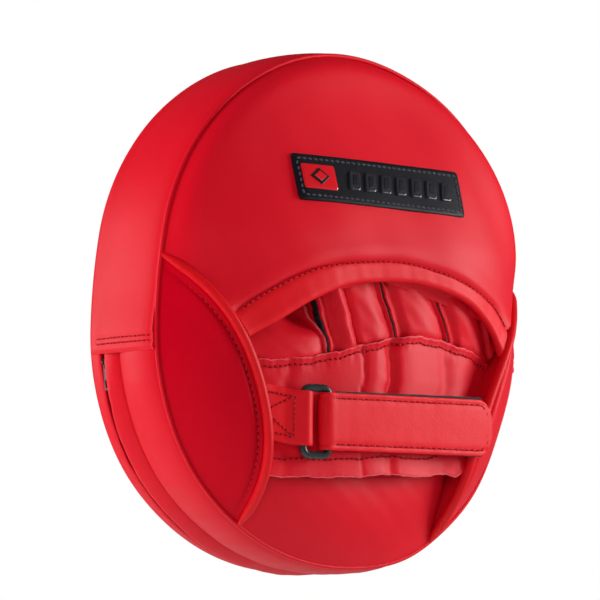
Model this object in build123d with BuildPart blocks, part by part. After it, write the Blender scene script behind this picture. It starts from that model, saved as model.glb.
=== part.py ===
from build123d import *

import math
import os

# Round focus mitt for boxing, right hand, about life size, in millimetres.
# The origin is the palm centre: the middle of the width and of the height, on the back seam.
# +Z runs towards the fingertips, +X to the right as the wearer looks at the back of the hand,
# and +Y out through the striking face. "Depth" below is the distance from the back seam
# towards the wearer's hand, so it runs along -Y.

# ---------------------------------------------------------------- driving dimensions
half_width = 106.0
height = 240.0
top_radius = 104.0
leather = 1.6
lining = 0.8

# the block that takes the punches
strike_y = 56.5          # striking face
edge_radius = 9.5        # rounding between the band and the striking face
foam_base_top = 14.0
foam_mid_top = 36.0

# back seam welt
welt_radius = 1.1

# hood over the fingertips: depth and plan circle of its middle and crown sections
hood_mid_depth = 24.0
hood_mid_radius = 80.0
hood_mid_centre = -12.0
hood_crown_depth = 38.0
hood_crown_radius = 64.0
hood_crown_centre = -44.0
hood_thickness = 10.8    # cover and foam, straight down from the crown
hood_leather = 1.8
hem_width = 10.0
hem_left = (-84.0, -27.0)
hem_apex = (3.0, 10.5)
hem_right = (84.0, -17.0)

# finger cavity under the hood
cavity_inset = 30.0
cavity_top = 62.0
floor_depth = 6.4
palm_cloth = 1.0
lining_top = floor_depth + palm_cloth

# wings: padded side cheeks, whose inner edge is one long arc
wing_top = (104.0, 18.0)
wing_mid = (66.5, -41.0)
wing_bottom = (56.0, -104.0)
wing_depth = 28.0
wing_reach = 44.0
piping_width = 4.4
piping_rise = 2.2

# lower back panel under the wrist
heel_depth = 17.0
heel_reach = 60.0
heel_top = -70.0

# arches over the hand, each its middle in X, its depth there and its radius
cover_arch = (0.0, 26.8, 275.5)
strap_arch = (10.0, 27.8, 1200.0)

# cover over the back of the hand, between the wings
cover_left = (-90.0, -28.0)
cover_apex = (22.0, -14.5)
cover_right = (90.0, -26.0)
wrist_edge = -81.0
wrist_corner = (66.0, -64.0)
corner_cut = 20.0
cover_half = 85.0        # the cover is cut to the wings from this half width

# finger stalls: the gaps between them at the reference height, and how far they lean
stall_height = -14.0
stall_lean = -0.30
stall_gap = 1.2
stall_gaps = (-25.0, -7.0, 16.0, 45.0, 69.0)
stall_wall = 1.5
stall_names = ("thumb_stall", "index_stall", "middle_stall", "ring_stall", "little_stall",
               "glove_gusset")

# wrist strap
strap_width = 26.0
strap_z = -54.4
strap_tilt = 1.5
rest_gap = 0.2           # strap above the hand cover
run_top = leather
tape = 1.0               # hook or loop tape
loop_top = run_top + tape
hook_low = loop_top + 0.3
flap_low = hook_low + tape
flap_leather = 2.4
flap_top = flap_low + flap_leather
flap_end = 70.0
tape_start = -18.0
tape_end = 61.0

# strap ring: round wire, both long bars run across the strap
wire = 1.8
bar_clearance = 0.3
ring_left = -41.5
ring_right = -28.5
ring_height = 30.8
ring_corner = 3.2
anchor_eye = 3.7
flap_eye = 3.9

# zip around the lower half of the band, measured from the band's outer radius
zip_y = 41.2
zip_start = 185.4        # angle of the band's fold on the thumb side
zip_sweep = 169.2
lip_gap = 3.4            # slot between the flap's lip and the front strip
tooth_pitch = 3.6        # degrees between two teeth of one row
tooth_size = (1.9, 1.6, 1.4)
tooth_middle = -3.85
tape_middle = -3.9
tape_thickness = 0.6
slider_angle = 188.6
slider_length = 9.6
slider_width = 5.6
pull_length = 13.0
pull_width = 2.8

# label on the hood
label_half = 48.0
label_low = 46.0
label_high = 68.5

# ---------------------------------------------------------------- worked out
bottom_centre = half_width - height / 2
top_centre = height / 2 - top_radius
centre_gap = top_centre - bottom_centre
side_radius = (half_width**2 + centre_gap**2 - top_radius**2) / (2 * (half_width - top_radius))
side_angle = math.degrees(math.atan2(centre_gap, side_radius - half_width))
band_y = strike_y - edge_radius
zip_axis = Axis((0, 0, bottom_centre), (0, -1, 0))
far = 200.0
deep = 60.0

os.makedirs("parts", exist_ok=True)
made = []


def finish(builder, name):
    """Label the sub-part and write its STEP file."""
    builder.part.label = name
    export_step(builder.part, f"parts/{name}.step")
    made.append(name)


def hand_plane(depth=0.0):
    """Plane across the mitt; local x is X, local y is Z and the normal points at the wearer."""
    return Plane.XZ.offset(depth)


# ---------------------------------------------------------------- outlines and regions
def outline_line(inset=0.0):
    """The mitt's outline: a round bottom, a slightly tighter round top and two long flanks."""
    with BuildLine() as line:
        CenterArc((0, bottom_centre), half_width - inset, 180, 180)
        CenterArc((half_width - side_radius, bottom_centre), side_radius - inset, 0, side_angle)
        CenterArc((0, top_centre), top_radius - inset, side_angle, 180 - 2 * side_angle)
        CenterArc((side_radius - half_width, bottom_centre), side_radius - inset,
                  180 - side_angle, side_angle)
    return line.line


def outline(inset=0.0):
    with BuildSketch() as shape:
        add(outline_line(inset))
        make_face()
    return shape.sketch


def circle_in_four(radius, centre):
    """A circle split where the outline is split, so that a loft between them doesn't twist."""
    with BuildSketch() as shape:
        with BuildLine():
            CenterArc((0, centre), radius, 180, 180)
            CenterArc((0, centre), radius, 0, side_angle)
            CenterArc((0, centre), radius, side_angle, 180 - 2 * side_angle)
            CenterArc((0, centre), radius, 180 - side_angle, side_angle)
        make_face()
    return shape.sketch


def wing_plan(side, grow=0.0):
    """Everything outside a wing's inner edge; side is +1 or -1, grow moves the edge inwards."""
    top, mid, bottom = [(side * (x - grow), z) for x, z in (wing_top, wing_mid, wing_bottom)]
    with BuildSketch() as shape:
        with BuildLine():
            ThreePointArc(top, mid, bottom)
            Polyline(bottom, (bottom[0], -far), (side * far, -far), (side * far, top[1] + 40), top)
        make_face()
    return shape.sketch


def above_arc(left, apex, right, lift=0.0):
    """Everything above an arc through three points, the arc raised by lift."""
    low, mid, high = [(x, z + lift) for x, z in (left, apex, right)]
    with BuildSketch() as shape:
        with BuildLine():
            ThreePointArc(low, mid, high)
            Polyline(high, (far, high[1]), (far, far), (-far, far), (-far, low[1]), low)
        make_face()
    return shape.sketch


def below(top):
    with BuildSketch() as shape:
        with Locations((0, top - far)):
            Rectangle(2 * far, 2 * far)
    return shape.sketch


def hood_plan(lift=0.0):
    """The hood's plan: above its hem and between the wings."""
    with BuildSketch() as shape:
        add(above_arc(hem_left, hem_apex, hem_right, lift))
        for side in (1, -1):
            add(wing_plan(side), mode=Mode.SUBTRACT)
    return shape.sketch


def between_wings(gap=0.0):
    """The open middle of the mitt's back."""
    with BuildSketch() as shape:
        add(outline())
        for side in (1, -1):
            add(wing_plan(side, gap), mode=Mode.SUBTRACT)
    return shape.sketch


def cavity_plan():
    """Plan of the room for the hand, between the wings and up under the hood."""
    with BuildSketch() as shape:
        add(outline(cavity_inset))
        add(below(cavity_top), mode=Mode.INTERSECT)
        for side in (1, -1):
            add(wing_plan(side), mode=Mode.SUBTRACT)
    return shape.sketch


# ---------------------------------------------------------------- envelopes
def hood_dome(shift):
    """The hood's outer surface as a solid, shifted along the depth."""
    with BuildPart() as dome:
        with BuildSketch(hand_plane(shift)):
            add(outline())
        with BuildSketch(hand_plane(hood_mid_depth + shift)):
            add(circle_in_four(hood_mid_radius, hood_mid_centre))
        with BuildSketch(hand_plane(hood_crown_depth + shift)):
            add(circle_in_four(hood_crown_radius, hood_crown_centre))
        loft()
        split(bisect_by=hand_plane(0), keep=Keep.TOP)
    return dome.part


def rim_dome(depth, reach, inset=0.0):
    """A padded rim: an arc profile swept right round the outline."""
    rim_plane = Plane(origin=(0, 0, -height / 2), x_dir=(0, 0, 1), z_dir=(1, 0, 0))
    with BuildPart() as dome:
        with BuildSketch(rim_plane):
            with BuildLine():
                ThreePointArc((inset, 0), (0.3 * reach + inset, 0.56 * depth), (reach, depth))
                Polyline((reach, depth), (reach, 0), (inset, 0))
            make_face()
        sweep(path=hand_plane(0).location * outline_line().wires()[0])
    return dome.part


def rounded_block(low_y, high_y, inset, rounding):
    """The outline made solid between two planes, with its striking edge rounded."""
    with BuildPart() as block:
        with BuildSketch(hand_plane(-low_y)):
            add(outline(inset))
        extrude(amount=low_y - high_y)
        fillet(block.faces().sort_by(Axis.Y)[-1].edges(), radius=rounding - 0.01)
    return block.part


def slab(low_depth, high_depth, plan):
    """A plan made solid between two depths."""
    with BuildPart() as plate:
        with BuildSketch(hand_plane(low_depth)):
            add(plan)
        extrude(amount=high_depth - low_depth)
    return plate.part


def radial_plane(angle):
    """Plane across the band: local x runs outwards from the zip's centre, local y is Y."""
    turn = math.radians(angle)
    return Plane(origin=(0, 0, bottom_centre), x_dir=(math.cos(turn), 0, math.sin(turn)),
                 z_dir=(-math.sin(turn), 0, math.cos(turn)))


def band_ring(corners, start=zip_start, sweep_angle=zip_sweep):
    """A profile of (height above the band, y) turned round the lower half of the band."""
    with BuildPart() as ring:
        with BuildSketch(radial_plane(start)):
            with BuildLine():
                Polyline([(half_width + rise, y) for rise, y in corners], close=True)
            make_face()
        revolve(axis=zip_axis, revolution_arc=sweep_angle)
    return ring.part


def arch_y(arch, x, lift):
    """Y of the point at x that stands lift above an arch over the hand."""
    middle, apex, radius = arch
    return radius - apex - math.sqrt((radius + lift)**2 - (x - middle)**2)


def arch_band(arch, low, high, start, end):
    """Section of a layer between two heights over an arch."""
    stops = (start, (start + end) / 2, end)
    inner, outer = [[(x, arch_y(arch, x, lift)) for x in stops] for lift in (low, high)]
    with BuildSketch() as shape:
        with BuildLine():
            ThreePointArc(*inner)
            ThreePointArc(*outer)
            Line(inner[0], outer[0])
            Line(inner[2], outer[2])
        make_face()
    return shape.sketch


hood_outer = hood_dome(0)
hood_under_leather = hood_dome(-hood_leather)
hood_underside = hood_dome(-hood_thickness)
cavity_ceiling = hood_dome(-hood_thickness - lining)
stall_top = -hood_thickness - lining - 0.3
stall_outer = hood_dome(stall_top)
stall_inner = hood_dome(stall_top - stall_wall)

# ---------------------------------------------------------------- striking block
inner_edge = edge_radius - leather
with BuildPart() as strike_cover:
    add(rounded_block(band_y, strike_y, 0.0, edge_radius))
    add(rounded_block(band_y, strike_y - leather, leather, inner_edge), mode=Mode.SUBTRACT)
finish(strike_cover, "strike_cover")

channel_floor = -6.9
channel_low = zip_y - 9.7
channel_high = zip_y + 9.3
channel_spare = 0.3      # degrees past each end of the zip
zip_channel = band_ring([(channel_floor, channel_low), (-leather, channel_low),
                         (-leather, channel_high), (channel_floor, channel_high)],
                        zip_start - channel_spare, zip_sweep + 2 * channel_spare)

with BuildPart() as foam_strike:
    add(rounded_block(foam_mid_top, strike_y - leather, leather, inner_edge))
    add(zip_channel, mode=Mode.SUBTRACT)
finish(foam_strike, "foam_strike")

with BuildPart() as foam_mid:
    add(slab(-foam_mid_top, -foam_base_top, outline(leather)))
    add(zip_channel, mode=Mode.SUBTRACT)
finish(foam_mid, "foam_mid")

with BuildPart() as foam_base:
    add(slab(-foam_base_top, 0, outline(leather)))
finish(foam_base, "foam_base")

# ---------------------------------------------------------------- band round the edge
with BuildPart() as band_upper:
    with BuildSketch(hand_plane(-band_y)):
        add(outline())
        add(outline(leather), mode=Mode.SUBTRACT)
        with BuildLine(mode=Mode.PRIVATE) as lower_sector:
            folds = [(far * math.cos(math.radians(a)), bottom_centre + far * math.sin(math.radians(a)))
                     for a in (zip_start, zip_start + zip_sweep)]
            Polyline((0, bottom_centre), folds[0], (folds[0][0], -far), (folds[1][0], -far),
                     folds[1], close=True)
        add(make_face(lower_sector.edges(), mode=Mode.PRIVATE), mode=Mode.SUBTRACT)
    extrude(amount=band_y)
finish(band_upper, "band_upper")

seam_y = zip_y - 10.8
seam_gap = 0.2
flap_edge = zip_y - lip_gap / 2
strip_edge = zip_y + lip_gap / 2

with BuildPart() as band_rear_strip:
    with BuildSketch(radial_plane(zip_start)):
        with BuildLine():
            outside = ThreePointArc((half_width, 0), (half_width + 1.5, seam_y / 2),
                                    (half_width + 0.8, seam_y - seam_gap))
            Polyline(outside @ 1, (half_width - leather, seam_y - seam_gap),
                     (half_width - leather, 0), outside @ 0)
        make_face()
    revolve(axis=zip_axis, revolution_arc=zip_sweep)
finish(band_rear_strip, "band_rear_strip")

with BuildPart() as zip_flap:
    add(band_ring([(-leather, seam_y), (0.0, seam_y), (0.6, seam_y + 1.2), (2.0, flap_edge - 3.6),
                   (2.3, flap_edge), (0.8, flap_edge), (0.3, flap_edge - 1.6),
                   (-1.4, flap_edge - 2.6)]))
finish(zip_flap, "zip_flap")

with BuildPart() as band_front_strip:
    add(band_ring([(-1.0, strip_edge), (0.5, strip_edge), (0.4, strip_edge + 2), (0.0, band_y),
                   (-leather, band_y), (-leather, strip_edge + 1.4)]))
finish(band_front_strip, "band_front_strip")

with BuildPart() as back_welt:
    with BuildSketch(Plane(origin=(0, 0, -height / 2), x_dir=(0, 0, 1), z_dir=(1, 0, 0))):
        with Locations((-welt_radius - 0.02, 0)):
            Circle(welt_radius)
    sweep(path=hand_plane(0).location * outline_line().wires()[0])
finish(back_welt, "back_welt")

# ---------------------------------------------------------------- zip
tape_low = tape_middle - tape_thickness / 2
tape_high = tape_middle + tape_thickness / 2
tape_rear_edge = channel_low + 0.5
tape_front_edge = channel_high - 0.5
row_inner = 0.7          # from the zip's centre line to the teeth
row_outer = row_inner + tooth_size[2]

with BuildPart() as zip_tape_rear:
    add(band_ring([(tape_low, tape_rear_edge), (tape_high, tape_rear_edge),
                   (tape_high, zip_y - row_outer), (tape_low, zip_y - row_outer)]))
finish(zip_tape_rear, "zip_tape_rear")

with BuildPart() as zip_tape_front:
    add(band_ring([(tape_low, zip_y + row_outer), (tape_high, zip_y + row_outer),
                   (tape_high, tape_front_edge), (tape_low, tape_front_edge)]))
finish(zip_tape_front, "zip_tape_front")

tooth_count = int((zip_sweep - 4) / tooth_pitch)
tooth_radius = half_width + tooth_middle
with BuildPart() as zip_teeth:
    for shift, row_y in ((0.0, zip_y - row_outer), (tooth_pitch / 2, zip_y + row_inner)):
        with BuildSketch(hand_plane(-row_y)):
            with Locations((0, bottom_centre)):
                with PolarLocations(tooth_radius, tooth_count, zip_start + 2 + shift,
                                    tooth_pitch * tooth_count, endpoint=False):
                    Rectangle(tooth_size[0], tooth_size[1])
        extrude(amount=-tooth_size[2])
finish(zip_teeth, "zip_teeth")

stop_low = -4.9
stop_high = -2.9
stop_sweep = 0.9
with BuildPart() as zip_stops:
    for angle in (zip_start + 0.4, zip_start + zip_sweep - 1.6):
        for low_y in (zip_y - row_outer, zip_y + row_inner):
            high_y = low_y + tooth_size[2]
            add(band_ring([(stop_low, low_y), (stop_high, low_y), (stop_high, high_y),
                           (stop_low, high_y)], angle, stop_sweep))
finish(zip_stops, "zip_stops")

slider_plane = radial_plane(slider_angle)
plate_thickness = 1.0
upper_plate = half_width - 2.1
lower_plate = half_width - 5.6
web_length = 5.2
lug_middle = half_width - 0.55
lug_height = 2.3
lug_length = 2.8
pin_radius = 0.6
pin_height = half_width + 0.1
pin_plane = Plane(origin=slider_plane.from_local_coords((pin_height, zip_y, 0)),
                  x_dir=slider_plane.x_dir, z_dir=(0, 1, 0))
lug_width = 0.8
with BuildPart() as zip_slider:
    with BuildSketch(slider_plane):
        with Locations((upper_plate, zip_y), (lower_plate, zip_y)):
            Rectangle(plate_thickness, slider_width)
    extrude(amount=slider_length / 2, both=True)
    with BuildSketch(slider_plane):
        with Locations(((upper_plate + lower_plate) / 2, zip_y)):
            Rectangle(upper_plate - lower_plate - plate_thickness + 0.1, lug_width)
    extrude(amount=web_length / 2, both=True)
    with BuildSketch(slider_plane):
        with Locations((lug_middle, zip_y)):
            Rectangle(lug_height, lug_width)
    extrude(amount=lug_length / 2, both=True)
    with BuildSketch(pin_plane):
        Circle(pin_radius)
    extrude(amount=pull_width / 2 - 0.1, both=True)
finish(zip_slider, "zip_slider")

ear_radius = 1.2
pull_thickness = 1.0
notch_radius = 3.0       # clears the lug through the pull's whole swing
pull_plane = Plane(origin=slider_plane.from_local_coords((pin_height, 0, 0)),
                   x_dir=slider_plane.z_dir, z_dir=(0, 1, 0))
with BuildPart() as zip_pull:
    with BuildSketch(pull_plane.offset(zip_y)):
        Circle(ear_radius)
        with Locations((pull_length / 2, 0)):
            Rectangle(pull_length, pull_thickness)
        Circle(pin_radius + 0.1, mode=Mode.SUBTRACT)
    extrude(amount=pull_width / 2, both=True)
    with BuildSketch(pull_plane.offset(zip_y)):
        Circle(notch_radius)
    extrude(amount=lug_width / 2 + 0.15, both=True, mode=Mode.SUBTRACT)
    with BuildSketch(Plane(origin=slider_plane.from_local_coords((pin_height, zip_y, 0)),
                           x_dir=slider_plane.z_dir, z_dir=slider_plane.x_dir)):
        with Locations((pull_length - 3.0, 0)):
            SlotOverall(4.0, 1.2)
    extrude(amount=2.0, both=True, mode=Mode.SUBTRACT)
finish(zip_pull, "zip_pull")

# ---------------------------------------------------------------- palm side of the block
heel_region = slab(0, deep, between_wings()) & slab(0, deep, below(heel_top))
heel_inner = rim_dome(heel_depth - leather, heel_reach, leather)
palm_plan = cavity_plan()

with BuildPart() as palm_pad:
    add(heel_inner)
    add(heel_region, mode=Mode.INTERSECT)
    with BuildSketch(hand_plane(0)):
        add(palm_plan)
        add(below(heel_top), mode=Mode.SUBTRACT)
    extrude(amount=floor_depth)
finish(palm_pad, "palm_pad")

with BuildPart() as lower_back_panel:
    add(rim_dome(heel_depth, heel_reach))
    add(heel_inner, mode=Mode.SUBTRACT)
    add(heel_region, mode=Mode.INTERSECT)
finish(lower_back_panel, "lower_back_panel")

with BuildPart() as palm_lining:
    with BuildSketch(hand_plane(floor_depth)):
        add(palm_plan)
        add(below(heel_top), mode=Mode.SUBTRACT)
    extrude(amount=lining_top - floor_depth)
finish(palm_lining, "palm_lining")

# ---------------------------------------------------------------- wings
wing_outer = rim_dome(wing_depth, wing_reach)
wing_inner = rim_dome(wing_depth - hood_leather, wing_reach, leather)
pipings = []
for side, hand in ((-1, "left"), (1, "right")):
    whole_wing = slab(0, deep, wing_plan(side)) & slab(0, deep, outline())
    padded_wing = slab(0, deep, wing_plan(side, -leather))
    with BuildPart() as wing_foam:
        add(wing_inner)
        add(padded_wing, mode=Mode.INTERSECT)
    finish(wing_foam, f"wing_foam_{hand}")
    with BuildPart() as wing_cover:
        add(wing_outer)
        add(whole_wing, mode=Mode.INTERSECT)
        add(wing_foam.part, mode=Mode.SUBTRACT)
    finish(wing_cover, f"wing_cover_{hand}")
    edge_plan = wing_plan(side, piping_width / 2) - wing_plan(side, -piping_width / 2)
    with BuildPart() as wing_piping:
        with BuildSketch(hand_plane(piping_rise)):
            add(outline())
        extrude(amount=deep)
        with BuildSketch(hand_plane(0)):
            add(edge_plan)
        extrude(amount=deep, mode=Mode.INTERSECT)
        add(rim_dome(wing_depth + piping_rise, wing_reach), mode=Mode.INTERSECT)
        add(wing_outer, mode=Mode.SUBTRACT)
    finish(wing_piping, f"wing_piping_{hand}")
    pipings.append(wing_piping.part)

# ---------------------------------------------------------------- hood
hem_plan = hood_plan() - hood_plan(hem_width)

with BuildPart() as hood_cover:
    add(hood_outer)
    add(hood_under_leather, mode=Mode.SUBTRACT)
    add(slab(0, deep, hood_plan(hem_width)), mode=Mode.INTERSECT)
    add(pipings, mode=Mode.SUBTRACT)
finish(hood_cover, "hood_cover")

with BuildPart() as hood_lining:
    add(hood_underside)
    add(cavity_ceiling, mode=Mode.SUBTRACT)
    add(slab(lining_top, deep, palm_plan), mode=Mode.INTERSECT)
    add(slab(0, deep, hood_plan(hem_width)), mode=Mode.INTERSECT)
finish(hood_lining, "hood_lining")

with BuildPart() as hood_foam:
    add(hood_under_leather)
    add(slab(0, deep, hood_plan(hem_width)), mode=Mode.INTERSECT)
    add(slab(0, deep, palm_plan) & hood_underside, mode=Mode.SUBTRACT)
    add(slab(0, lining_top, palm_plan), mode=Mode.SUBTRACT)
finish(hood_foam, "hood_foam")

with BuildPart() as hood_hem:
    add(hood_outer)
    add(slab(0, deep, hem_plan), mode=Mode.INTERSECT)
    add(slab(0, deep, palm_plan) & cavity_ceiling, mode=Mode.SUBTRACT)
    add(pipings, mode=Mode.SUBTRACT)
finish(hood_hem, "hood_hem")

# ---------------------------------------------------------------- finger stalls
def stall_plan(first, last, lowest):
    """A leaning strip between two stations, from the height lowest upwards."""
    with BuildSketch() as shape:
        with BuildLine():
            ends = [(x + stall_lean * (z - stall_height), z)
                    for x, z in ((first, lowest), (last, lowest), (last, 100), (first, 100))]
            Polyline(ends, close=True)
        make_face()
        add(palm_plan, mode=Mode.INTERSECT)
    return shape.sketch


above_cover = above_arc(cover_left, cover_apex, cover_right)
stall_foot = -60.0       # below the cover's upper edge, which cuts the stalls off
stations = (-far,) + stall_gaps + (far,)
for name, first, last in zip(stall_names, stations, stations[1:]):
    first_side = first + stall_gap / 2
    last_side = last - stall_gap / 2
    inside = stall_plan(first_side + stall_wall, last_side - stall_wall, stall_foot)
    hollow = slab(lining_top + stall_wall, deep, inside) & stall_inner
    with BuildPart() as stall:
        add(stall_outer)
        with BuildSketch(hand_plane(lining_top)):
            add(stall_plan(first_side, last_side, stall_foot))
            add(above_cover, mode=Mode.INTERSECT)
        extrude(amount=deep, mode=Mode.INTERSECT)
        add(hollow, mode=Mode.SUBTRACT)
    finish(stall, name)

# ---------------------------------------------------------------- cover over the back of the hand
with BuildSketch() as cover_shape:
    add(cavity_plan())
    add(between_wings(0.1), mode=Mode.INTERSECT)
    add(above_cover, mode=Mode.SUBTRACT)
    with Locations((0, wrist_edge - far)):
        Rectangle(2 * far, 2 * far, mode=Mode.SUBTRACT)
    with BuildLine():
        Polyline((wrist_corner[0] - corner_cut, wrist_edge - 1), (wrist_corner[0] + 6, wrist_corner[1]),
                 (wrist_corner[0] + corner_cut, wrist_edge - 1), close=True)
    make_face(mode=Mode.SUBTRACT)
cover_plan = cover_shape.sketch

for name, low, high in (("hand_cover", -leather, 0.0), ("hand_cover_lining", -leather - lining, -leather)):
    with BuildPart() as cover:
        with BuildSketch(Plane.XY):
            add(arch_band(cover_arch, low, high, -cover_half, cover_half))
        extrude(amount=far, both=True)
        with BuildSketch(hand_plane(0)):
            add(cover_plan)
        extrude(amount=deep, mode=Mode.INTERSECT)
    finish(cover, name)

# ---------------------------------------------------------------- wrist strap
tilt = math.radians(strap_tilt)
strap_plane = Plane(origin=(0, 0, strap_z), x_dir=(math.cos(tilt), 0, math.sin(tilt)),
                    z_dir=(-math.sin(tilt), 0, math.cos(tilt)))
left_bar = (ring_left, arch_y(cover_arch, ring_left, rest_gap + anchor_eye))
right_bar = (ring_right, arch_y(cover_arch, ring_right, rest_gap + flap_eye + 0.2))
bar_hole = wire + bar_clearance
middle_slab = slab(0, deep, between_wings(0.1))

tab_start = ring_left - 9
tab_end = ring_left - 3.5
run_start = ring_right + 4.2
run_end = 75.0
flap_overlap = 2.5       # the flap's plain run starts this far before its tape
flap_corner = 7.0
with BuildPart() as strap_anchor_tab:
    with BuildSketch(strap_plane):
        add(arch_band(cover_arch, rest_gap, rest_gap + 2 * leather, -run_end, tab_end))
        with Locations(left_bar):
            Circle(anchor_eye)
        with BuildLine():
            Polyline((tab_start, arch_y(cover_arch, tab_start, rest_gap + leather)),
                     (ring_left, left_bar[1] + anchor_eye - 0.1),
                     (ring_left, left_bar[1] - anchor_eye),
                     (tab_start, arch_y(cover_arch, tab_start, rest_gap + 2 * leather)), close=True)
        make_face()
        with Locations(left_bar):
            Circle(bar_hole, mode=Mode.SUBTRACT)
    extrude(amount=strap_width / 2, both=True)
    add(middle_slab, mode=Mode.INTERSECT)
    add(pipings, mode=Mode.SUBTRACT)
finish(strap_anchor_tab, "strap_anchor_tab")

for name, low, high, start, end in (("strap_lower_run", 0, run_top, run_start, run_end),
                                    ("loop_tape", run_top, loop_top, tape_start, tape_end)):
    with BuildPart() as layer:
        with BuildSketch(strap_plane):
            add(arch_band(strap_arch, low, high, start, end))
        extrude(amount=strap_width / 2 - 0.2, both=True)
        add(middle_slab, mode=Mode.INTERSECT)
        add(pipings, mode=Mode.SUBTRACT)
    finish(layer, name)

bar_line = Vector(right_bar[0] - left_bar[0], right_bar[1] - left_bar[1])
ring_middle = ((left_bar[0] + right_bar[0]) / 2, (left_bar[1] + right_bar[1]) / 2, 0)
across_ring = strap_plane.from_local_coords(bar_line) - strap_plane.origin
ring_plane = Plane(origin=strap_plane.from_local_coords(ring_middle), x_dir=across_ring,
                   z_dir=across_ring.cross(strap_plane.z_dir))
with BuildSketch(ring_plane) as ring_shape:
    RectangleRounded(bar_line.length, ring_height, ring_corner)
ring_path = ring_shape.sketch.wires()[0]
with BuildPart() as strap_ring:
    with BuildSketch(Plane(origin=ring_path @ 0, z_dir=ring_path % 0)):
        Circle(wire)
    sweep(path=ring_path)
finish(strap_ring, "strap_ring")

with BuildPart() as strap_flap:
    with BuildSketch(strap_plane):
        add(arch_band(strap_arch, flap_low, flap_top, tape_start - flap_overlap, flap_end))
        with Locations(right_bar):
            Circle(flap_eye)
        with BuildLine():
            Polyline((ring_right, right_bar[1] - flap_eye),
                     (tape_start - 2, arch_y(strap_arch, tape_start - 2, flap_top)),
                     (tape_start - 2, arch_y(strap_arch, tape_start - 2, flap_low)),
                     (ring_right + 2.4, right_bar[1] - 1.2), close=True)
        make_face()
        with Locations(right_bar):
            Circle(bar_hole, mode=Mode.SUBTRACT)
    extrude(amount=strap_width / 2, both=True)
    end_face = strap_flap.faces().sort_by(Axis.X)[-1]
    fillet(end_face.edges().sort_by(SortBy.LENGTH)[:2], radius=flap_corner)
finish(strap_flap, "strap_flap")

with BuildPart() as hook_tape:
    with BuildSketch(strap_plane):
        add(arch_band(strap_arch, hook_low, flap_low, tape_start, tape_end))
    extrude(amount=strap_width / 2 - 0.4, both=True)
finish(hook_tape, "hook_tape")

# ---------------------------------------------------------------- label on the hood
label_middle = (label_low + label_high) / 2
label_height = label_high - label_low
patch_top = 1.0
tile_top = patch_top + 0.9
tile_middle = -34.5
tile_width = 22.0
tile_height = 15.0
rib_top = patch_top + 0.7
rib_middle = 9.0
rib_pitch = 9.0
rib_width = 3.0
rib_height = 11.0
rib_count = 7
with BuildSketch() as patch_plan:
    with Locations((0, label_middle)):
        RectangleRounded(2 * label_half, label_height, 1.5)
with BuildSketch() as tile_plan:
    with Locations((tile_middle, label_middle)):
        RectangleRounded(tile_width, tile_height, 1.0)
with BuildSketch() as rib_plan:
    with Locations((rib_middle, label_middle)):
        with GridLocations(rib_pitch, 1.0, rib_count, 1):
            Rectangle(rib_width, rib_height)
for name, low, high, plan in (("label_patch", 0.0, patch_top, patch_plan.sketch),
                              ("label_tile", patch_top, tile_top, tile_plan.sketch),
                              ("label_ribs", patch_top, rib_top, rib_plan.sketch)):
    with BuildPart() as piece:
        add(slab(0, deep, plan) & hood_dome(high))
        add(hood_dome(low), mode=Mode.SUBTRACT)
    finish(piece, name)

print(len(made), "sub-parts written")
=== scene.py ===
import math

import bmesh
import bpy
import numpy as np
from mathutils import Matrix, Vector


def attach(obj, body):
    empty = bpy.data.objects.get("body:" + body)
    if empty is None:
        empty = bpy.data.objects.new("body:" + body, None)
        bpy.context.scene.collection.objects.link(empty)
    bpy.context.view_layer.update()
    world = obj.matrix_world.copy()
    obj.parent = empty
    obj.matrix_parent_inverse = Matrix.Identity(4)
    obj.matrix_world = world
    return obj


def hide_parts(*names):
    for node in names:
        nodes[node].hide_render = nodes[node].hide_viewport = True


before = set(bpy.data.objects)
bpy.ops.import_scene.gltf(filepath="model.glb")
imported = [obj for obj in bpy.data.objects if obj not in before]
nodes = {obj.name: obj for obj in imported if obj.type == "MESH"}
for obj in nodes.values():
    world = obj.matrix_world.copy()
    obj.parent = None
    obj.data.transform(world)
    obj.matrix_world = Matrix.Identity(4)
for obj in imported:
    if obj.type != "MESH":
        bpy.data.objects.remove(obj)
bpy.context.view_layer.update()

# A round focus mitt. Shapes are worked out in millimetres and turned into metres as each mesh is made.
# "Depth" is the distance from the back seam towards the hand, which is -Y.


# ---------------------------------------------------------------- materials
def new_material(name, roughness=0.5, metallic=0.0, specular=0.5):
    """A node material; returns it with its tree and its shader."""
    material = bpy.data.materials.new(name)
    material.use_nodes = True
    tree = material.node_tree
    shader = tree.nodes["Principled BSDF"]
    shader.inputs["Roughness"].default_value = roughness
    shader.inputs["Metallic"].default_value = metallic
    shader.inputs["Specular IOR Level"].default_value = specular
    return material, tree, shader


def add_node(tree, kind, **values):
    node = tree.nodes.new(kind)
    for key, value in values.items():
        if key in node.inputs:
            node.inputs[key].default_value = value
        else:
            setattr(node, key, value)
    return node


def place(tree):
    return add_node(tree, "ShaderNodeTexCoord").outputs["Object"]


def noise(tree, scale, detail=3.0):
    node = add_node(tree, "ShaderNodeTexNoise", Scale=scale, Detail=detail)
    tree.links.new(place(tree), node.inputs["Vector"])
    return node.outputs["Fac"]


def colour_mix(tree, factor, first, second, low=0.3, high=0.7):
    ramp = add_node(tree, "ShaderNodeValToRGB")
    ramp.color_ramp.elements[0].position = low
    ramp.color_ramp.elements[0].color = (*first, 1)
    ramp.color_ramp.elements[1].position = high
    ramp.color_ramp.elements[1].color = (*second, 1)
    tree.links.new(factor, ramp.inputs["Fac"])
    return ramp.outputs["Color"]


def map_range(tree, value, low, high):
    node = add_node(tree, "ShaderNodeMapRange")
    node.inputs["To Min"].default_value = low
    node.inputs["To Max"].default_value = high
    tree.links.new(value, node.inputs["Value"])
    return node.outputs["Result"]


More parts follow.
